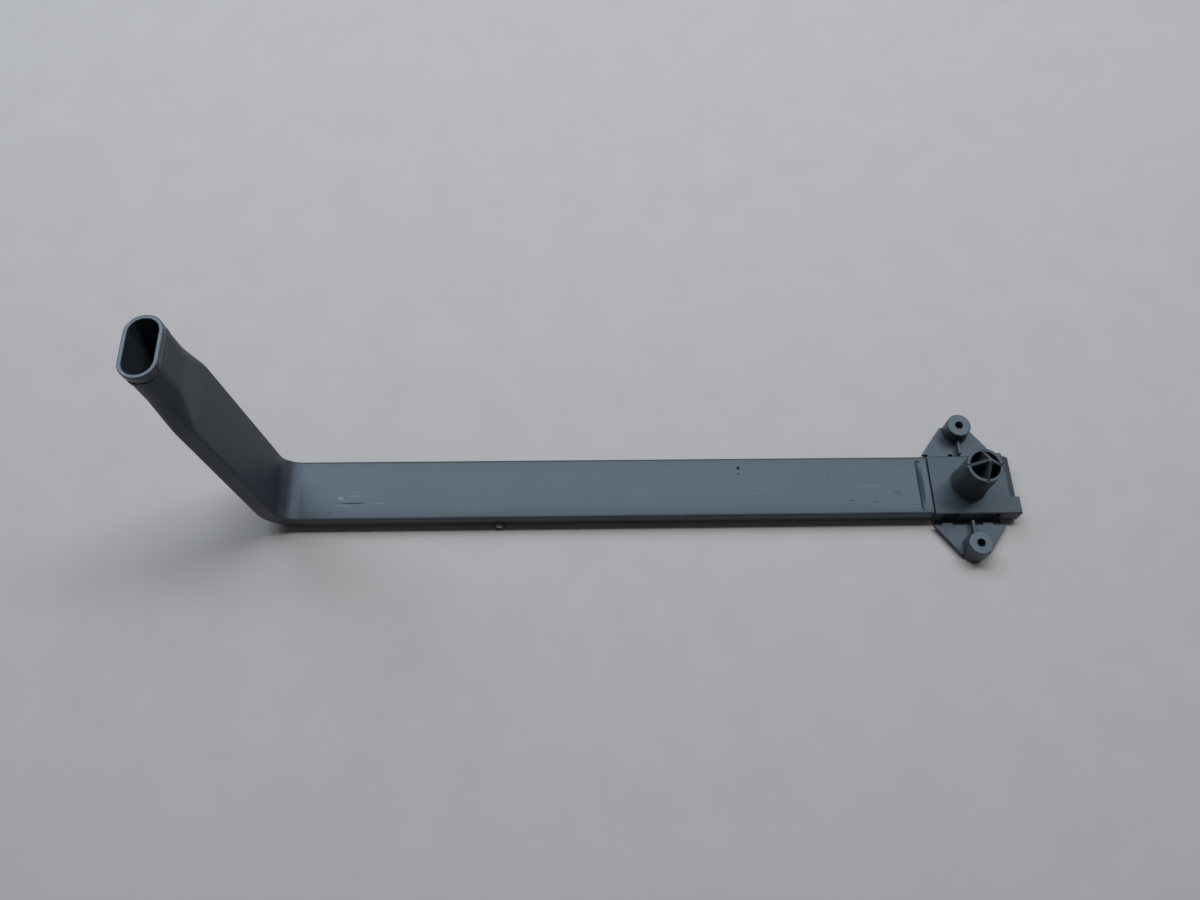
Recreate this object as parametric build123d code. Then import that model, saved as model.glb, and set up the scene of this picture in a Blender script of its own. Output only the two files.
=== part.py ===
"""Dishwasher conduit: a flat water duct with an upright leg and a snapped-on nozzle manifold.

Millimetres. The origin lies under the nozzle, on the plane that the part rests on.
+X runs along the duct towards the manifold, +Y across it and +Z up along the nozzle.
"""
import math
import os

from build123d import *

# Duct section, the same along the flat run and the lower leg
duct_width = 32.0
duct_height = 10.2
duct_upper_corner = 1.2
duct_lower_corner = 3.5
duct_wall = 1.7
bore_corner = 1.2

# Duct route: the run's axis and the leg's axis meet at the bend
duct_end_x = -20.0
run_length = 332.0
bend_inner_radius = 9.0
leg_lean = 5.4
leg_length = 101.3
transition_length = 26.9
transition_ease = 0.2
transition_steps = 10
neck_length = 18.4

# Oval neck at the leg's top, with a lip and a bead round its mouth
neck_width = 26.8
neck_depth = 15.0
neck_corner = 7.1
neck_wall = 1.3
lip_height = 2.8
lip_step = 0.4
lip_round = 0.3
bead_height = 2.2
bead_step = 0.3
bead_gap = 2.2

# Small marks of the duct: a scooped groove across it near its open end and a moulding nub on one side
groove_length = 27.5
groove_width = 3.0
groove_depth = 0.6
groove_from_end = 4.5
nub_radius = 2.8
nub_out = 2.0
nub_height = 2.0
nub_from_end = 220.0
nub_lift = 1.0

# Manifold cover: a shallow cap over the chamber, flush with the duct
joint_gap = 0.9
cover_overhang = 0.1
cover_plate = 1.5
cover_skirt = 1.6
cover_round = 0.8
cover_reach = 25.2
end_setback = 0.8
bevel_reach = 3.8
bevel_drop = 2.7
tab_width = 9.1
ear_length = 5.5
ear_out = 1.5

# Snap fastening between cover and base, two windows in each side
window_pitch = 21.0
window_width = 8.0
window_sill = 1.4
window_head = 0.5
lug_width = 6.2
lug_rise = 4.4
lug_slope = 1.2
snap_clearance = 0.2

# Spray nozzle on the cover, with a raised cross in its mouth
nozzle_radius = 9.0
nozzle_wall = 1.5
nozzle_top = 34.5
nozzle_foot_step = 0.6
nozzle_foot_height = 1.0
spoke_thickness = 1.5
spoke_depth = 14.0
spoke_apex_rise = 6.4
spoke_rim_drop = 0.8

# Mounting base: a tray under the chamber with a wing and a screw boss on each side
base_floor = 1.3
chamber_wall = 1.4
wall_clearance = 0.25
tray_half_length = 17.0
channel_width = 3.7
tray_wall = 1.2
near_pads = ((-11.9, 5.4), (9.1, 5.4))
far_pads = ((-10.6, 10.8), (6.9, 19.4))
pad_reach = 1.2
wing_half_length = 18.9
wing_end_half = 7.2
wing_past_boss = 2.7
wing_top = 4.0
wing_thickness = 1.8
boss_offset = 32.6
boss_radius = 6.2
boss_height = 13.0
boss_hole_radius = 2.1
boss_chamfer = 0.35
boss_collar = 0.8
rib_thickness = 1.2
rib_top = 8.0

# Spigot of the base, which the duct's open end slides over
spigot_length = 14.0
spigot_wall = 1.1
spigot_clearance = 0.15

# Places worked out from the sizes above
cover_half_width = duct_width / 2 + cover_overhang
cover_top = duct_height + cover_overhang
cover_ceiling = cover_top - cover_plate
cover_left = duct_end_x + joint_gap
skirt_inner = cover_half_width - cover_skirt
skirt_bottom = base_floor + snap_clearance
sill_top = skirt_bottom + window_sill
end_reach = cover_reach - end_setback
bevel_start = end_reach - bevel_reach
chamber_half_width = skirt_inner - wall_clearance
chamber_right = bevel_start - cover_skirt
channel_outer = cover_half_width + channel_width
axis_z = duct_height / 2
bend_corner = Vector(duct_end_x - run_length, 0, axis_z)
lean = math.radians(leg_lean)
leg_axis = Vector(-math.sin(lean), 0, math.cos(lean))
cut_margin = 1.0
STANDING = (Align.CENTER, Align.CENTER, Align.MIN)


def leg_plane(distance):
    """The plane across the leg, at a distance along its axis from the bend's corner."""
    return Plane(origin=bend_corner + leg_axis * distance, x_dir=(0, 1, 0), z_dir=leg_axis)


def section(width, depth, inner_corner, outer_corner):
    """A rounded rectangle whose outer corners (local +Y) can differ from its inner ones."""
    shape = Rectangle(width, depth)
    shape = fillet(shape.vertices().group_by(Axis.Y)[0], inner_corner)
    return fillet(shape.vertices().group_by(Axis.Y)[-1], outer_corner)


def bore_sizes(gap):
    """The sizes of the duct's bore, or of what fits inside it with a gap all round."""
    inset = duct_wall + gap
    return duct_width - 2 * inset, duct_height - 2 * inset, bore_corner, bore_corner


def neck_sizes(inset):
    """The sizes of the neck's oval section, drawn in by an inset."""
    corner = neck_corner - inset
    return neck_width - 2 * inset, neck_depth - 2 * inset, corner, corner


def swept_duct(shape):
    """A section swept along the flat run, the bend and the lower leg."""
    start = Vector(duct_end_x, 0, axis_z)
    top = bend_corner + leg_axis * leg_length
    path = FilletPolyline(start, bend_corner, top, radius=bend_inner_radius + duct_height / 2)
    end_plane = Plane(origin=start, x_dir=(0, 1, 0), z_dir=(-1, 0, 0))
    return sweep(end_plane * shape, path=path)


def eased(way):
    """A share from 0 to 1 that starts and ends softly and runs evenly in between."""
    pace = 1 / (1 - transition_ease)
    if way < transition_ease:
        return pace * way**2 / (2 * transition_ease)
    if way > 1 - transition_ease:
        return 1 - pace * (1 - way) ** 2 / (2 * transition_ease)
    return pace * (way - transition_ease / 2)


def leg_upper(flat, oval):
    """The soft change from the flat section's sizes to the oval one's, and the plain neck above it."""
    sections = []
    for step in range(transition_steps + 1):
        way = step / transition_steps
        share = eased(way)
        sizes = [(1 - share) * start + share * end for start, end in zip(flat, oval)]
        sections.append(leg_plane(leg_length + way * transition_length) * section(*sizes))
    return loft(sections) + extrude(sections[-1], amount=neck_length - lip_height)


def neck_rings():
    """The rounded lip at the mouth and the bead under it."""
    mouth = leg_length + transition_length + neck_length
    lip_face = section(*neck_sizes(-lip_step)) - section(*neck_sizes(neck_wall))
    lip = extrude(leg_plane(mouth - lip_height) * lip_face, amount=lip_height)
    lip = fillet(lip.faces().sort_by(Axis(bend_corner, leg_axis))[-1].edges(), lip_round)
    bead_plane = leg_plane(mouth - lip_height - bead_gap - bead_height)
    bead_face = section(*neck_sizes(-bead_step)) - section(*neck_sizes(bead_step))
    bead = extrude(bead_plane * bead_face, amount=bead_height)
    return lip + bead


def moulding_nub():
    """The half-round nub low on the duct's near side."""
    centre = Pos(duct_end_x - nub_from_end, nub_radius - nub_out - duct_width / 2, nub_lift)
    return centre * Cylinder(nub_radius, nub_height, align=STANDING)


def cross_groove():
    """The cutter for the scooped groove across the duct's top: a lying bar with ball ends."""
    radius = (groove_width**2 / 4 + groove_depth**2) / (2 * groove_depth)
    straight = groove_length - groove_width
    bar = Rot(90, 0, 0) * Cylinder(radius, straight)
    for end in (-straight / 2, straight / 2):
        bar = bar + Pos(0, end, 0) * Sphere(radius)
    return Pos(duct_end_x - groove_from_end, 0, duct_height - groove_depth + radius) * bar


def conduit_tube():
    """The hollow duct: flat run, bend, leg, transition and neck in one moulding."""
    outline = (duct_width, duct_height, duct_upper_corner, duct_lower_corner)
    outside = swept_duct(section(*outline)) + leg_upper(outline, neck_sizes(0)) + moulding_nub()
    inside = swept_duct(section(*bore_sizes(0))) + leg_upper(bore_sizes(0), neck_sizes(neck_wall))
    return outside - inside - cross_groove() + neck_rings()


def side_extrusion(points, near, far):
    """A profile of X and Z points, extruded across the part between two Y places."""
    face = make_face(Polyline(*points, close=True))
    return extrude(Plane.XZ.offset(-far) * face, amount=far - near)


def cover_shell():
    """The cap: top, two sides and an end, bevelled at the end beside a square tab."""
    square = [
        (cover_left, skirt_bottom),
        (cover_reach, skirt_bottom),
        (cover_reach, cover_top),
        (cover_left, cover_top),
    ]
    bevelled = [
        (cover_left, skirt_bottom),
        (end_reach, skirt_bottom),
        (end_reach, cover_top - bevel_drop),
        (bevel_start, cover_top),
        (cover_left, cover_top),
    ]
    hollow = [
        (cover_left - cut_margin, skirt_bottom - cut_margin),
        (end_reach - cover_skirt, skirt_bottom - cut_margin),
        (end_reach - cover_skirt, cover_ceiling - bevel_drop),
        (bevel_start - cover_skirt, cover_ceiling),
        (cover_left - cut_margin, cover_ceiling),
    ]
    tab_edge = tab_width - cover_half_width
    shell = side_extrusion(bevelled, tab_edge, cover_half_width)
    shell += side_extrusion(square, -cover_half_width, tab_edge)
    ridges = shell.edges().filter_by(Axis.X).group_by(Axis.Z)[-1].sort_by(Axis.Y)
    shell = fillet([ridges[0], ridges[-1]], cover_round)
    return shell - side_extrusion(hollow, -skirt_inner, skirt_inner)


def cover_ear():
    """The small ear on the cover's far side, with its corner cut."""
    outline = Polyline(
        (bevel_start - ear_length, skirt_inner),
        (bevel_start, skirt_inner),
        (bevel_start, cover_half_width),
        (bevel_start - ear_out / 2, cover_half_width + ear_out),
        (bevel_start - ear_length, cover_half_width + ear_out),
        close=True,
    )
    return Pos(0, 0, cover_ceiling) * extrude(make_face(outline), amount=cover_plate)


def snap_windows():
    """The cutter for the windows that take the base's lugs, in both skirts."""
    depth = cover_skirt + cut_margin
    window = Box(window_width, depth, cover_top - window_head - sill_top, align=STANDING)
    across = 2 * skirt_inner + depth
    return GridLocations(window_pitch, across, 2, 2) * (Pos(0, 0, sill_top) * window)


def nozzle_tube():
    """The nozzle's round wall with its foot ring, turned about the Z axis."""
    foot = nozzle_radius + nozzle_foot_step
    bore = nozzle_radius - nozzle_wall
    profile = Polyline(
        (bore, cover_ceiling),
        (foot, cover_ceiling),
        (foot, cover_top + nozzle_foot_height - nozzle_foot_step),
        (nozzle_radius, cover_top + nozzle_foot_height),
        (nozzle_radius, nozzle_top),
        (bore, nozzle_top),
        close=True,
    )
    return revolve(Plane.XZ * make_face(profile), Axis.Z)


def nozzle_spoke():
    """One of the two crossed plates, roof-shaped, that stand across the nozzle's mouth."""
    half = spoke_thickness / 2
    low_edge = nozzle_top - spoke_depth
    rim_edge = nozzle_top - spoke_rim_drop
    bore = nozzle_radius - nozzle_wall / 2
    roof = Polyline(
        (-bore, low_edge),
        (bore, low_edge),
        (bore, rim_edge),
        (half, nozzle_top + spoke_apex_rise),
        (-half, nozzle_top + spoke_apex_rise),
        (-bore, rim_edge),
        close=True,
    )
    return extrude(Plane.XZ * make_face(roof), amount=half, both=True)


def rim_notch():
    """The cutter that lets one spoke's slope run out through the nozzle's rim."""
    notch = Box(2 * nozzle_radius, spoke_thickness, spoke_rim_drop, align=STANDING)
    return Pos(0, 0, nozzle_top - spoke_rim_drop) * notch


def manifold_cover():
    """The cover with its nozzle and snap windows."""
    bore = Cylinder(nozzle_radius - nozzle_wall, nozzle_top, align=STANDING)
    body = cover_shell() + cover_ear()
    body = body - snap_windows() - bore + nozzle_tube()
    for turn in (0, 90):
        body = body - Rot(0, 0, turn) * rim_notch()
    for turn in (0, 90):
        body = body + Rot(0, 0, turn) * nozzle_spoke()
    return body


def chamber_box():
    """The base's open chamber: a floor and four low walls inside the cover."""
    middle = (cover_left + chamber_right) / 2
    length = chamber_right - cover_left
    width = 2 * chamber_half_width
    height = cover_ceiling - snap_clearance
    outline = Rectangle(length, width)
    opening = Rectangle(length - 2 * chamber_wall, width - 2 * chamber_wall)
    walls = extrude(outline, amount=height) - Pos(0, 0, base_floor) * extrude(opening, amount=height)
    return Pos(middle, 0, 0) * walls


def spigot(inset, overrun):
    """The spigot's section run out of the chamber's end wall, drawn in by an inset."""
    start = cover_left + chamber_wall + overrun
    end_plane = Plane(origin=(start, 0, axis_z), x_dir=(0, 1, 0), z_dir=(-1, 0, 0))
    shape = end_plane * section(*bore_sizes(spigot_clearance + inset))
    return extrude(shape, amount=spigot_length + chamber_wall + 2 * overrun)


def tray():
    """The floor beside the chamber and the low tray walls that carry the wings."""
    outer = channel_outer + tray_wall
    floor = extrude(Rectangle(2 * tray_half_length, 2 * outer), amount=base_floor)
    return floor + tray_side(far_pads) + mirror(tray_side(near_pads), about=Plane.XZ)


def tray_side(pads):
    """One tray wall on the +Y side, with pads that reach towards the cover."""
    wall_line = Pos(0, channel_outer + tray_wall / 2, 0) * Rectangle(2 * tray_half_length, tray_wall)
    side = extrude(wall_line, amount=wing_top)
    for centre, width in pads:
        pad = Pos(centre, channel_outer - pad_reach / 2, 0) * Rectangle(width, pad_reach)
        side = side + extrude(pad, amount=wing_top)
    return side


def wing():
    """One wing plate, tapering to its boss, with the boss, its collar and the rib up to it."""
    outer_y = boss_offset + wing_past_boss
    outline = Polyline(
        (-wing_end_half, outer_y),
        (-wing_half_length, channel_outer),
        (wing_half_length, channel_outer),
        (wing_end_half, outer_y),
        close=True,
    )
    face = make_face(outline)
    plate = Pos(0, 0, wing_top - wing_thickness) * extrude(face, amount=wing_thickness)
    boss = Pos(0, boss_offset, 0) * Cylinder(boss_radius, boss_height, align=STANDING)
    boss = chamfer(boss.edges().group_by(Axis.Z)[-1], boss_chamfer)
    collar = Cone(boss_radius + boss_collar, boss_radius, boss_collar, align=STANDING)
    collar = (Pos(0, boss_offset, wing_top) * collar) & (Pos(0, 0, wing_top) * extrude(face, amount=boss_collar))
    rib_start = channel_outer - pad_reach
    rib_line = Pos(0, (rib_start + boss_offset) / 2, 0) * Rectangle(rib_thickness, boss_offset - rib_start)
    rib = extrude(rib_line, amount=rib_top)
    through = boss_height + 2 * cut_margin
    hole = Pos(0, boss_offset, -cut_margin) * Cylinder(boss_hole_radius, through, align=STANDING)
    return plate + boss + collar + rib - hole


def snap_lug():
    """One wedge-shaped lug on the chamber's wall, filling its window to the cover's outside."""
    low = sill_top + snap_clearance
    inner = chamber_half_width - chamber_wall / 2
    profile = Polyline(
        (inner, low),
        (cover_half_width, low),
        (cover_half_width, low + lug_rise - lug_slope),
        (inner, low + lug_rise),
        close=True,
    )
    return extrude(Plane.YZ * make_face(profile), amount=lug_width / 2, both=True)


def mounting_base():
    """The tray, chamber, spigot, wings and lugs in one moulding."""
    lugs = GridLocations(window_pitch, 0, 2, 1) * snap_lug()
    side = wing() + lugs
    body = tray() + chamber_box() + spigot(0, 0)
    body = body + side + mirror(side, about=Plane.XZ)
    return body - spigot(spigot_wall, cut_margin)


NODES = {
    "conduit_tube": conduit_tube,
    "manifold_cover": manifold_cover,
    "mounting_base": mounting_base,
}

os.makedirs("parts", exist_ok=True)
for name, build in NODES.items():
    solid = build()
    export_step(solid, f"parts/{name}.step")
    print(name, "volume", round(solid.volume), "solids", len(solid.solids()))
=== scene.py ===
# %% [markdown]
# # A dishwasher conduit in slate-grey plastic
# The object is a water duct from inside a dishwasher. A flat run lies on the floor, bends up into a
# leaning leg and ends in an oval mouth. At its other end a small manifold carries an upright nozzle
# and a wing with a screw boss on each side.
# The shapes come from a packed CAD model, which is loaded as a fixed frame and never moved. This
# script gives it what CAD doesn't have: a moulded surface with its marks, light, a floor and a camera.

import math

import bpy
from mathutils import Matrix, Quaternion, Vector

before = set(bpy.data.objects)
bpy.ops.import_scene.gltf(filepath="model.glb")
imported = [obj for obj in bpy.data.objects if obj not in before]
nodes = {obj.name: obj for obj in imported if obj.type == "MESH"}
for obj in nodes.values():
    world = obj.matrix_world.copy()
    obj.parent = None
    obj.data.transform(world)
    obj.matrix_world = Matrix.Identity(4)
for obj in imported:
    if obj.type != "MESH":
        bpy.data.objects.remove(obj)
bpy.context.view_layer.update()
print("nodes:", ", ".join(sorted(nodes)))

# %% [markdown]
# ## The camera
# A photograph of a long, low object is easiest to match when the camera comes first. One could turn
# the camera by hand until it looks right, but three facts fix it fully: where the eye is, the point
# that it looks at and how far it is rolled about its own line of sight. The lens then sets the scale.

# %% Set the camera
EYE = Vector((-0.2080, -0.2007, 0.4855))
LOOKS_AT = Vector((-0.1881, 0.0260, 0.0))
ROLL = math.radians(4.07)
LENS_MM = 30.586
SENSOR_MM = 36.0
NEAREST, FURTHEST = 0.01, 20.0

lens = bpy.data.cameras.new("bench_camera")
lens.sensor_width = SENSOR_MM
lens.sensor_fit = "HORIZONTAL"
lens.lens = LENS_MM
lens.clip_start, lens.clip_end = NEAREST, FURTHEST
camera = bpy.data.objects.new("bench_camera", lens)
camera.location = EYE
camera.rotation_mode = "QUATERNION"
aim = (LOOKS_AT - EYE).to_track_quat("-Z", "Y")
camera.rotation_quaternion = aim @ Quaternion((0.0, 0.0, 1.0), ROLL)
bpy.context.scene.collection.objects.link(camera)
bpy.context.scene.camera = camera
bpy.context.scene.view_settings.view_transform = "Standard"
print("camera stands", round((LOOKS_AT - EYE).length, 3), "m from what it looks at")

# %% [markdown]
# ## A small helper for node materials
# Every finish below is a chain of nodes. Written out in full, each node takes a line to make it, one
# for each number and one for each wire. The helper takes the numbers and wires by the sockets' names,
# so that a finish reads like a recipe.

# %% Helper: one node with its numbers and wires
class Recipe:
    """Adds nodes to one material, wiring or setting inputs by name or place."""

    def __init__(self, tree):
        self.tree = tree

    def add(self, kind, inputs=None, out=0, **settings):
        made = self.tree.nodes.new(kind)
        for name, value in settings.items():
            setattr(made, name, value)
        for name, value in (inputs or {}).items():
            socket = made.inputs[name]
            if isinstance(value, bpy.types.NodeSocket):
                self.tree.links.new(value, socket)
            else:
                socket.default_value = value
        return made.outputs[out]

    def math(self, operation, a, b=0.0, clamp=False):
        return self.add("ShaderNodeMath", {0: a, 1: b}, operation=operation, use_clamp=clamp)

    def vector(self, operation, inputs, out=0):
        return self.add("ShaderNodeVectorMath", inputs, out=out, operation=operation)

    def show(self, shader):
        output = self.tree.nodes.new("ShaderNodeOutputMaterial")
        self.tree.links.new(shader, output.inputs["Surface"])


print("recipe steps:", [step for step in vars(Recipe) if not step.startswith("_")])

# %% [markdown]
# ## The steps that finishes share
# A worn surface is mostly three things: noise, a soft step that picks out part of it, and a mix of two
# tones. Small marks need one thing more, an ellipse that fades at its edge. Image textures could hold
# all of these, but as nodes they stay sharp at any distance and take their sizes in real lengths.

# %% Helper: noise, soft steps, mixes and patches
MM_PER_M = 1000.0


class Finish(Recipe):
    """The steps that a finish is made of, on top of plain nodes."""

    def place(self):
        """Where a point is, in metres, in the frame that all pieces share."""
        return self.add("ShaderNodeTexCoord", out=3)

    def part(self, vector, axis):
        """One of x, y and z of a vector."""
        return self.add("ShaderNodeSeparateXYZ", {0: vector}, out="xyz".index(axis))

    def spread(self, value, low, high, to_low=0.0, to_high=1.0):
        """A soft step: low goes to to_low, high to to_high."""
        inputs = {"Value": value, "From Min": low, "From Max": high,
                  "To Min": to_low, "To Max": to_high}
        return self.add("ShaderNodeMapRange", inputs, interpolation_type="SMOOTHSTEP")

    def noise(self, place, scale, detail=3.0, roughness=0.5):
        inputs = {"Vector": place, "Scale": scale, "Detail": detail, "Roughness": roughness}
        return self.add("ShaderNodeTexNoise", inputs)

    def stretched_noise(self, place, scales, detail, roughness):
        """Noise with a scale of its own along each axis."""
        return self.noise(self.vector("MULTIPLY", {0: place, 1: scales}), 1.0, detail, roughness)

    def mix(self, share, first, second):
        """A number between two numbers."""
        return self.add("ShaderNodeMix", {0: share, 2: first, 3: second})

    def blend(self, share, first, second):
        """A colour between two colours."""
        inputs = {"Factor": share, 6: first, 7: second}
        return self.add("ShaderNodeMix", inputs, out=2, data_type="RGBA")

    def more(self, value, share, amount):
        """A value raised by an amount where share is 1."""
        return self.math("ADD", value, self.math("MULTIPLY", share, amount))

    def patch(self, place, centre, reach, fade=0.5):
        """1 in the middle of an ellipsoid, fading to 0 at its edge, sizes in mm."""
        scale = [MM_PER_M / length for length in reach]
        shift = [-middle / length for middle, length in zip(centre, reach)]
        away = self.vector("MULTIPLY_ADD", {0: place, 1: scale, 2: shift})
        away = self.vector("LENGTH", {0: away}, out=1)
        return self.spread(away, 1.0, 1.0 - fade)


def new_material(name):
    """An empty node material and its finish."""
    material = bpy.data.materials.new(name)
    material.use_nodes = True
    material.node_tree.nodes.clear()
    return material, Finish(material.node_tree)


print("finish steps:", [step for step in vars(Finish) if not step.startswith("_")])

# %% [markdown]
# ## The floor
# The part lies on a plain pale floor. A matt sheet could be one flat colour, but a faint, fine mottle
# keeps the shadow from looking cut out. The sheet is a little warm, to make up for the cool light. A
# pale floor also throws a lot of light back up, which would wash out the part's dark sides. So the eye
# and every mirror image see the pale floor, and only the light that bounces off it is held back, with
# the Light Path node.

# %% Floor
FLOOR_HALF = 6.0
FLOOR_GAP = 0.0002
FLOOR_DIM = (0.366, 0.338, 0.335, 1.0)
FLOOR_BRIGHT = (0.377, 0.349, 0.346, 1.0)
FLOOR_BOUNCE = (0.20, 0.20, 0.20, 1.0)
FLOOR_ROUGHNESS = 0.85
FLOOR_SHINE = 0.2
MOTTLE_SCALE = 38.0

mesh = bpy.data.meshes.new("floor")
signs = [(-1, -1), (1, -1), (1, 1), (-1, 1)]
corners = [(FLOOR_HALF * x, FLOOR_HALF * y, -FLOOR_GAP) for x, y in signs]
mesh.from_pydata(corners, [], [(0, 1, 2, 3)])
floor = bpy.data.objects.new("floor", mesh)
bpy.context.scene.collection.objects.link(floor)

floor_paint, r = new_material("floor_paint")
mottle = r.spread(r.noise(r.place(), MOTTLE_SCALE, 4.0), 0.3, 0.7)
tone = r.blend(mottle, FLOOR_DIM, FLOOR_BRIGHT)
ray = r.tree.nodes.new("ShaderNodeLightPath").outputs
seen = r.math("ADD", ray["Is Camera Ray"], ray["Is Glossy Ray"])
seen = r.math("ADD", seen, ray["Is Transmission Ray"], clamp=True)
tone = r.blend(seen, FLOOR_BOUNCE, tone)
sheet = {"Base Color": tone, "Roughness": FLOOR_ROUGHNESS, "Specular IOR Level": FLOOR_SHINE}
r.show(r.add("ShaderNodeBsdfPrincipled", sheet))
mesh.materials.append(floor_paint)
print("floor is", 2 * FLOOR_HALF, "m across")

# %% [markdown]
# ## The light
# Dark plastic shows its shape through what it mirrors, so two kinds of light share the work. A long
# neutral strip hangs almost overhead, in line with the duct: it lights the part and draws the narrow
# dark shadow along its near side. It is hidden from mirror images, so that no bright line follows the
# rounded edges. Cooler panels hang further back, where the flat tops mirror them towards the camera:
# they give the tops their pale blue-grey sheen. The broad panel serves the run and the manifold, the
# one at its end the lip of the mouth, and the low one the far edges. A weak glow fills the rest.

# %% Strip and panels
NEUTRAL = (1.0, 0.98, 0.96)
SKY = (0.74, 0.89, 1.0)


def soft_light(name, place, size, watts, colour, mirrored=True):
    """A rectangular light that hangs level and faces straight down."""
    light = bpy.data.lights.new(name, "AREA")
    light.shape = "RECTANGLE"
    light.size, light.size_y = size
    light.energy = watts
    light.color = colour
    holder = bpy.data.objects.new(name, light)
    holder.location = place
    holder.visible_glossy = mirrored
    bpy.context.scene.collection.objects.link(holder)
    print(name, "gives", watts, "W from", place)


soft_light("overhead_strip", (-0.08, 0.32, 1.30), (1.20, 0.14), 10.0, NEUTRAL, mirrored=False)
soft_light("sky_panel", (-0.10, 0.67, 1.50), (2.20, 0.63), 20.3, SKY)
soft_light("sky_panel_low", (-0.35, 1.30, 1.40), (1.90, 0.55), 8.0, SKY)
soft_light("sky_panel_end", (-1.42, 0.92, 1.50), (0.80, 0.80), 11.0, SKY)

# %% Glow
GLOW = 0.10
GLOW_COLOUR = (0.95, 0.97, 1.0, 1.0)

world = bpy.data.worlds.new("studio_glow")
world.use_nodes = True
glow = world.node_tree.nodes["Background"]
glow.inputs["Color"].default_value = GLOW_COLOUR
glow.inputs["Strength"].default_value = GLOW
bpy.context.scene.world = world
print("glow of", GLOW)

# %% [markdown]
# ## The moulded plastic: its colour
# All three mouldings are one dark slate-grey polypropylene. Up close such a surface isn't even. The
# melt flows along the mould and leaves fine streaks and broad bands, thick places look a little
# cloudier, and dust sticks to it in pale specks. Each of these is a noise of its own size, stretched
# along the flow where it has a direction. A painted picture could show them too, but noise needs no
# picture and keeps its sharpness at any distance.

# %% Streaks of the flow
FLOW_ALONG_X = (14.0, 900.0, 900.0)
FLOW_UP_LEG = (900.0, 900.0, 14.0)
BANDS_ALONG_X = (7.0, 210.0, 210.0)
BAND_SHARE = 0.45
BEND_LOW, BEND_HIGH = 0.012, 0.030


def flow_streaks(r, place):
    """Streaks along the run, turning up the leg where the melt does."""
    along = r.stretched_noise(place, FLOW_ALONG_X, 4.0, 0.6)
    upward = r.stretched_noise(place, FLOW_UP_LEG, 4.0, 0.6)
    bands = r.stretched_noise(place, BANDS_ALONG_X, 3.0, 0.5)
    along = r.mix(BAND_SHARE, along, bands)
    turned = r.spread(r.part(place, "z"), BEND_LOW, BEND_HIGH)
    return r.mix(turned, along, upward)


print("streaks turn between", MM_PER_M * BEND_LOW, "and", MM_PER_M * BEND_HIGH, "mm up")

# %% Colour of the plastic
SLATE = (0.027, 0.033, 0.041, 1.0)
PALE_SLATE = (0.038, 0.045, 0.054, 1.0)
SLATE_UNTIL, PALE_FROM = 0.41, 0.59
CLOUD_SCALE = 32.0
STREAK_PART, CLOUD_PART = 0.55, 0.45
DUST = (0.17, 0.18, 0.19, 1.0)
SPECK_SCALE = 900.0
SPECK_FROM, SPECK_FULL = 0.76, 0.80
SPECK_STRENGTH = 0.4


def plastic_colour(r, place, streaks):
    """Slate with streaks, clouds and dust; also the unevenness that the gloss follows."""
    cloud = r.math("MULTIPLY", r.noise(place, CLOUD_SCALE, 4.0, 0.55), CLOUD_PART)
    uneven = r.math("ADD", r.math("MULTIPLY", streaks, STREAK_PART), cloud)
    colour = r.blend(r.spread(uneven, SLATE_UNTIL, PALE_FROM), SLATE, PALE_SLATE)
    specks = r.spread(r.noise(place, SPECK_SCALE, 1.0), SPECK_FROM, SPECK_FULL)
    return r.blend(r.math("MULTIPLY", specks, SPECK_STRENGTH), colour, DUST), uneven


print("slate between", SLATE[:3], "and", PALE_SLATE[:3])

# %% [markdown]
# ## The moulded plastic: its edges and hollows
# A moulding has no knife-sharp edge: the tool's own corners are a little round. The Bevel node rounds
# the shading of every edge without touching the mesh, and where its normal leaves the face's own, there
# is an edge. Its colour is painted paler there: partly wear from handling, partly a painted highlight.
# Corners and hollows, which the Ambient Occlusion node finds, are painted darker: that is painted shade.

# %% Edges and hollows
EDGE_ROUND = 0.0005
STILL_FLAT, FULL_EDGE = 0.995, 0.90
# paler edge colour: partly wear, partly painted highlight
EDGE_WEAR_AND_HIGHLIGHT = (0.075, 0.083, 0.092, 1.0)
EDGE_WEAR_AND_HIGHLIGHT_STRENGTH = 0.35
CORNER_REACH = 0.003
OPEN_CORNER, DEEP_CORNER = 0.75, 0.25
# painted shade: the colour that corners and hollows are darkened towards
CORNER_SHADE = (0.012, 0.014, 0.017, 1.0)
CORNER_SHADE_STRENGTH = 0.35
RAYS = 6


def edge_highlight_and_corner_shade(r, colour):
    """Edges painted paler, wear and painted highlight, and corners painted darker, painted shade; also
    the rounded normal and the edge's share.
    """
    rounded = r.add("ShaderNodeBevel", {"Radius": EDGE_ROUND}, samples=RAYS)
    flat = r.add("ShaderNodeNewGeometry", out=1)
    agree = r.vector("DOT_PRODUCT", {0: rounded, 1: flat}, out=1)
    edge = r.spread(agree, STILL_FLAT, FULL_EDGE)
    # paler edges: partly wear, partly painted highlight
    colour = r.blend(r.math("MULTIPLY", edge, EDGE_WEAR_AND_HIGHLIGHT_STRENGTH), colour, EDGE_WEAR_AND_HIGHLIGHT)
    # painted shade: corners and hollows darkened where the Ambient Occlusion node finds them
    reach = {"Distance": CORNER_REACH}
    open_sky = r.add("ShaderNodeAmbientOcclusion", reach, out=1, samples=RAYS)
    corner = r.spread(open_sky, OPEN_CORNER, DEEP_CORNER)
    colour = r.blend(r.math("MULTIPLY", corner, CORNER_SHADE_STRENGTH), colour, CORNER_SHADE)
    return colour, rounded, edge


print("edges are rounded by", MM_PER_M * EDGE_ROUND, "mm in the shading")

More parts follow.
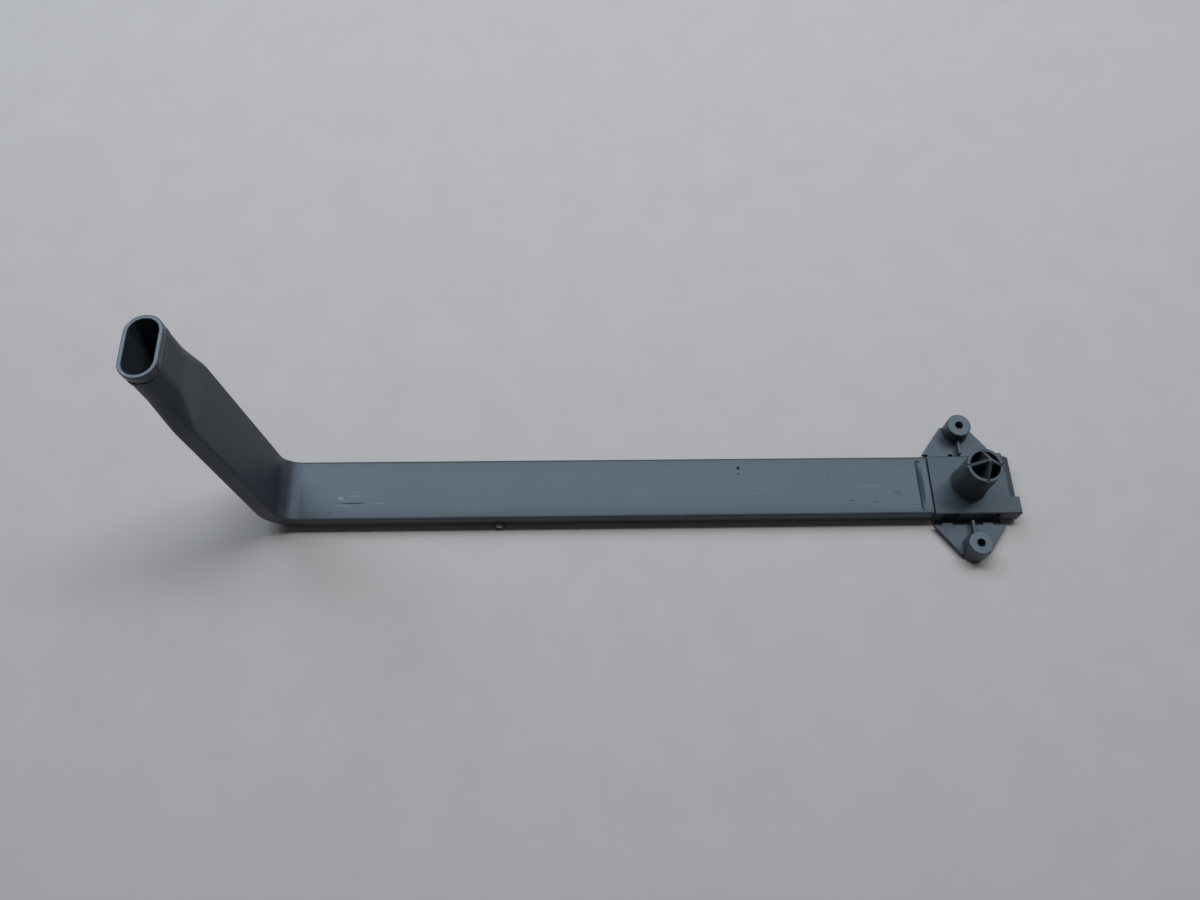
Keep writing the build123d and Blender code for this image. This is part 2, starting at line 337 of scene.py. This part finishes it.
# %% [markdown]
# ## The moulded plastic: its relief
# On dark plastic the eye reads the gloss first. The mould's own grain breaks it up, the streaks make
# it run in lines, and the wide flat walls sink or crown a little as they cool. All of that is far too
# shallow to model, so it goes into the bump, in true heights: the crown drops the run's edges by about
# a third of a millimetre, which shades its top softly towards them.

# %% Relief of the plastic
HALF_WIDTH = 0.016
CROWN_POWER = 4.0
GRAIN_SCALE = 2600.0
GRAIN_HEIGHT = 0.00004
GRAIN_STRENGTH = 0.5
STREAK_RELIEF, GRAIN_RELIEF = 0.6, 0.4


def surface_normal(r, place, streaks, rounded, crown):
    """The rounded normal with streaks and grain, and the crown across the duct."""
    grain = r.math("MULTIPLY", r.noise(place, GRAIN_SCALE, 2.0, 0.5), GRAIN_RELIEF)
    relief = r.math("ADD", r.math("MULTIPLY", streaks, STREAK_RELIEF), grain)
    inputs = {"Height": relief, "Distance": GRAIN_HEIGHT, "Strength": GRAIN_STRENGTH,
              "Normal": rounded}
    normal = r.add("ShaderNodeBump", inputs)
    if not crown:
        return normal
    across = r.math("ABSOLUTE", r.math("DIVIDE", r.part(place, "y"), HALF_WIDTH))
    sunk = r.math("MULTIPLY", r.math("POWER", across, CROWN_POWER), -crown)
    inputs = {"Height": sunk, "Distance": 1.0, "Strength": 1.0, "Normal": normal}
    return r.add("ShaderNodeBump", inputs)


print("grain is", MM_PER_M * GRAIN_HEIGHT, "mm high")

# %% [markdown]
# ## The moulded plastic: the whole finish
# The steps above meet in one Principled shader. The plastic's index of refraction is set low, because
# its upright sides are dark, and a higher one would let them mirror the pale floor. The tint makes what
# it does mirror a little blue. Each moulding brings a step of its own for its marks, which changes
# colour and gloss before the edges get their paler paint, wear and painted highlight, and the corners
# their painted shade.

# %% The whole finish
GLOSS_UNEVEN = 0.38
EDGE_DULLER = 0.08
REFRACTION = 1.33
SHINE = 0.95
SHEEN_TINT = (0.80, 0.91, 1.0, 1.0)


def slate_plastic(name, roughness, own_marks, crown=0.0):
    """The whole finish of one moulding."""
    material, r = new_material(name)
    place = r.place()
    streaks = flow_streaks(r, place)
    colour, uneven = plastic_colour(r, place, streaks)
    off_even = r.math("SUBTRACT", uneven, 0.5)
    gloss = r.math("ADD", r.math("MULTIPLY", off_even, GLOSS_UNEVEN), roughness)
    colour, gloss = own_marks(r, place, colour, gloss)
    colour, rounded, edge = edge_highlight_and_corner_shade(r, colour)
    gloss = r.math("ADD", gloss, r.math("MULTIPLY", edge, EDGE_DULLER), clamp=True)
    normal = surface_normal(r, place, streaks, rounded, crown)
    inputs = {"Base Color": colour, "Roughness": gloss, "Normal": normal,
              "IOR": REFRACTION, "Specular IOR Level": SHINE, "Specular Tint": SHEEN_TINT}
    r.show(r.add("ShaderNodeBsdfPrincipled", inputs))
    return material


print("index of refraction", REFRACTION)

# %% [markdown]
# ## The marks on the run
# This conduit has been handled. There is a scuffed place beside the bend, a few pale streaks and dark
# scratches along the run, two faint lines across it by the nub and one further on, some dark dots and
# the faint ring that an ejector pin leaves. The floor of the groove is painted darker and duller, as
# painted shade. They could be decals, but each is only a small ellipse, so each is written down with
# its middle, its half lengths and its strength, in millimetres on the top.

# %% Where the marks are
TOP = 10.2
MARK_DEPTH = 2.0
PALE_MARKS = [
    (-318.9, -4.3, 1.9, 1.4, 0.85), (-317.3, -8.5, 5.7, 0.40, 0.45),
    (-301.2, -7.1, 4.6, 0.40, 0.40), (-312.2, -3.0, 4.7, 0.45, 0.45),
    (-322.0, -0.6, 3.5, 0.30, 0.32), (-148.9, -15.2, 0.4, 0.4, 0.9),
    (-51.9, -0.3, 14.1, 0.35, 0.32), (-107.0, -1.2, 9.0, 0.40, 0.25),
    (-242.0, 0.0, 0.35, 15.0, 0.13), (-239.0, 0.0, 0.35, 15.0, 0.10),
    (-167.2, 0.0, 0.35, 15.0, 0.07), (-72.1, 5.8, 1.6, 1.6, 0.20),
]
DARK_MARKS_AND_GROOVE_SHADE = [
    (-312.3, -7.0, 8.0, 0.36, 1.00), (-323.6, -12.1, 0.6, 0.5, 0.80),
    (-117.9, 10.3, 1.2, 1.2, 1.00), (-118.2, 6.9, 0.9, 0.8, 0.55),
    (-61.4, -8.2, 2.1, 0.35, 0.50), (-49.2, -8.8, 2.1, 0.35, 0.50),
    (-36.9, -4.0, 2.5, 1.1, 0.18), (-72.1, 5.8, 1.1, 1.1, 0.30),
    # painted shade: the groove's floor, darkened and dulled as if in shade
    (-24.5, 0.0, 2.0, 15.2, 0.55),
]


def gathered(r, place, marks):
    """The strongest of all marks at each place."""
    total = None
    for x, y, along, across, strength in marks:
        ellipse = r.patch(place, (x, y, TOP), (along, across, MARK_DEPTH))
        mark = r.math("MULTIPLY", ellipse, strength)
        total = mark if total is None else r.math("MAXIMUM", total, mark)
    return total


print(len(PALE_MARKS), "pale and", len(DARK_MARKS_AND_GROOVE_SHADE), "dark marks on the run")

# %% [markdown]
# Real scuffs aren't smooth ellipses. A fine noise breaks up the pale marks, and beside the bend a
# patch of drawn-out noise stands for the many hairlines of the worn place. The nub's rounded top gets
# a painted highlight: a pale blue-grey where light would fall on it.

# %% Colour and gloss of the marks
SCUFF = (0.16, 0.175, 0.19, 1.0)
# dark colour for scratches and dots, and for the painted shade in the groove
SCRATCH_AND_GROOVE_SHADE = (0.010, 0.012, 0.015, 1.0)
PALE_DULLER, DARK_DULLER = 0.15, 0.55
BREAK_SCALE, BREAK_SHARE = 1400.0, 0.55
BREAK_FROM, BREAK_FULL = 0.30, 0.62
WORN_MIDDLE, WORN_REACH, WORN_FADE = (-311.0, -5.0, TOP), (18.0, 8.0, 0.8), 0.9
WORN_STRENGTH = 0.45
HAIRLINES = (160.0, 1300.0, 1300.0)
HAIR_FROM, HAIR_FULL = 0.48, 0.72
NUB_TOP, NUB_REACH = (-240.0, -17.2, 3.0), (3.0, 1.6, 0.9)
# painted highlight on the nub's top
NUB_PAINTED_HIGHLIGHT = (0.34, 0.40, 0.45, 1.0)


def worn_place(r, place):
    """The hairlines beside the bend."""
    hairs = r.stretched_noise(place, HAIRLINES, 3.0, 0.6)
    worn = r.patch(place, WORN_MIDDLE, WORN_REACH, WORN_FADE)
    worn = r.math("MULTIPLY", worn, r.spread(hairs, HAIR_FROM, HAIR_FULL))
    return r.math("MULTIPLY", worn, WORN_STRENGTH)


def run_marks(r, place, colour, gloss):
    """The run's marks: pale ones rough, dark ones and the painted shade in the groove duller still, and
    a painted highlight on the nub.
    """
    broken = r.spread(r.noise(place, BREAK_SCALE, 3.0, 0.6), BREAK_FROM, BREAK_FULL)
    whole = gathered(r, place, PALE_MARKS)
    pale = r.math("MULTIPLY", whole, r.mix(BREAK_SHARE, 1.0, broken))
    pale = r.math("MAXIMUM", pale, worn_place(r, place))
    dark = gathered(r, place, DARK_MARKS_AND_GROOVE_SHADE)
    colour = r.blend(pale, colour, SCUFF)
    # dark marks: scratches and dots, and painted shade in the groove
    colour = r.blend(dark, colour, SCRATCH_AND_GROOVE_SHADE)
    # painted highlight on the nub's top
    colour = r.blend(r.patch(place, NUB_TOP, NUB_REACH), colour, NUB_PAINTED_HIGHLIGHT)
    gloss = r.more(gloss, pale, PALE_DULLER)
    return colour, r.more(gloss, dark, DARK_DULLER)


print("the worn place reaches", WORN_REACH[0], "mm either way from", WORN_MIDDLE[0])

# %% [markdown]
# ## The dull leg and the smooth lip
# The leg is plainly duller than the run, as if its part of the mould were etched and the run's polished.
# The lip is smooth again, and shows as a bright ring round the mouth. The shoulder where the bend
# starts is slightly dull as well. One could cut the tube's mesh into zones with a material each, but
# the change is gradual, so height and place steer the roughness instead.

# %% Gloss of the leg, the lip and the shoulder
LEG_LOW, LEG_HIGH, LEG_DULLER = 0.014, 0.034, 0.20
LIP_LOW, LIP_HIGH, LIP_SMOOTHER = 0.145, 0.149, 0.27
SHOULDER, SHOULDER_REACH, SHOULDER_FADE = (-343.5, 0.0, 10.5), (7.0, 60.0, 5.0), 0.8
SHOULDER_DULLER = 0.10


def duct_marks(r, place, colour, gloss):
    """The run's marks, and the gloss of leg, shoulder and lip."""
    colour, gloss = run_marks(r, place, colour, gloss)
    height = r.part(place, "z")
    gloss = r.math("ADD", gloss, r.spread(height, LEG_LOW, LEG_HIGH, 0.0, LEG_DULLER))
    shoulder = r.patch(place, SHOULDER, SHOULDER_REACH, SHOULDER_FADE)
    gloss = r.more(gloss, shoulder, SHOULDER_DULLER)
    lip = r.spread(height, LIP_LOW, LIP_HIGH, 0.0, -LIP_SMOOTHER)
    return colour, r.math("ADD", gloss, lip)


print("the leg is duller by", LEG_DULLER, "and its lip smoother by", LIP_SMOOTHER)

# %% [markdown]
# ## Painted light on the cover's sides
# The cover's two upright sides stand in a narrow channel, where little light reaches. A patchy, paler
# colour is painted on them as painted light, so that they read as lit and the snap windows stand out as
# dark openings. It lies only on upright faces, which the face's own normal tells, and only out at the
# sides.

# %% Painted light on the cover's sides
SIDE_FROM, SIDE_FADE = 0.0150, 0.0006
LEANING, UPRIGHT = 0.5, 0.2
# painted light: the paler colour of the cover's upright sides
SIDE_PAINTED_LIGHT = (0.105, 0.108, 0.115, 1.0)
SIDE_PATCH_SCALE = 420.0
SIDE_PATCH_LOW, SIDE_PATCH_HIGH = 0.65, 1.0
SIDE_DULLER = 0.12


def painted_light_on_sides(r, place, colour, gloss):
    """Painted light, patchy, on the upright faces at the cover's two sides."""
    facing = r.add("ShaderNodeNewGeometry", out=1)
    lean = r.math("ABSOLUTE", r.part(facing, "z"))
    out_at = r.math("ABSOLUTE", r.part(place, "y"))
    outside = r.spread(out_at, SIDE_FROM, SIDE_FROM + SIDE_FADE)
    # painted light on the upright side faces, made patchy by noise
    side_light_share = r.math("MULTIPLY", r.spread(lean, LEANING, UPRIGHT), outside)
    patchy = r.mix(r.noise(place, SIDE_PATCH_SCALE, 3.0, 0.6), SIDE_PATCH_LOW, SIDE_PATCH_HIGH)
    side_light_share = r.math("MULTIPLY", side_light_share, patchy)
    return r.blend(side_light_share, colour, SIDE_PAINTED_LIGHT), r.more(gloss, side_light_share, SIDE_DULLER)


# the painted light on the sides starts this far out
print("dust film from", MM_PER_M * SIDE_FROM, "mm out")

# %% [markdown]
# ## The smooth faces of the bosses
# The faces that the screws clamp are smoother than the wings around them, so they mirror more of the
# light. A second material could do that, but the faces are simply the highest places of the base, so
# its own material turns smoother there.

# %% Smooth faces of the bosses
BOSS_FACE = 0.0130
BOSS_LOW, BOSS_HIGH = BOSS_FACE - 0.0006, BOSS_FACE - 0.0003
BOSS_SMOOTHER = 0.08


def smooth_bosses(r, place, colour, gloss):
    """Less roughness at the height of the bosses' faces."""
    face = r.spread(r.part(place, "z"), BOSS_LOW, BOSS_HIGH, 0.0, BOSS_SMOOTHER)
    return colour, r.math("SUBTRACT", gloss, face)


print("bosses are smoother by", BOSS_SMOOTHER)

# %% [markdown]
# ## Three finishes of one plastic
# The duct comes from a polished mould and shines most. The cover and the base come from plainer ones,
# so their sheen is softer. The recipe is the same for all three: roughness, crown and each moulding's
# own marks make the difference.

# %% Dress the three mouldings
DUCT_ROUGHNESS, COVER_ROUGHNESS, BASE_ROUGHNESS = 0.32, 0.40, 0.36
RUN_CROWN = 0.00035

finishes = {
    "conduit_tube": slate_plastic("duct_plastic", DUCT_ROUGHNESS, duct_marks, RUN_CROWN),
    "manifold_cover": slate_plastic("cover_plastic", COVER_ROUGHNESS, painted_light_on_sides),
    "mounting_base": slate_plastic("base_plastic", BASE_ROUGHNESS, smooth_bosses),
}
for name, finish in finishes.items():
    nodes[name].material_slots[0].material = finish
    print(name, "wears", finish.name, "with", len(finish.node_tree.nodes), "nodes")
print("the crown drops the run's edges by", MM_PER_M * RUN_CROWN, "mm")

# %% [markdown]
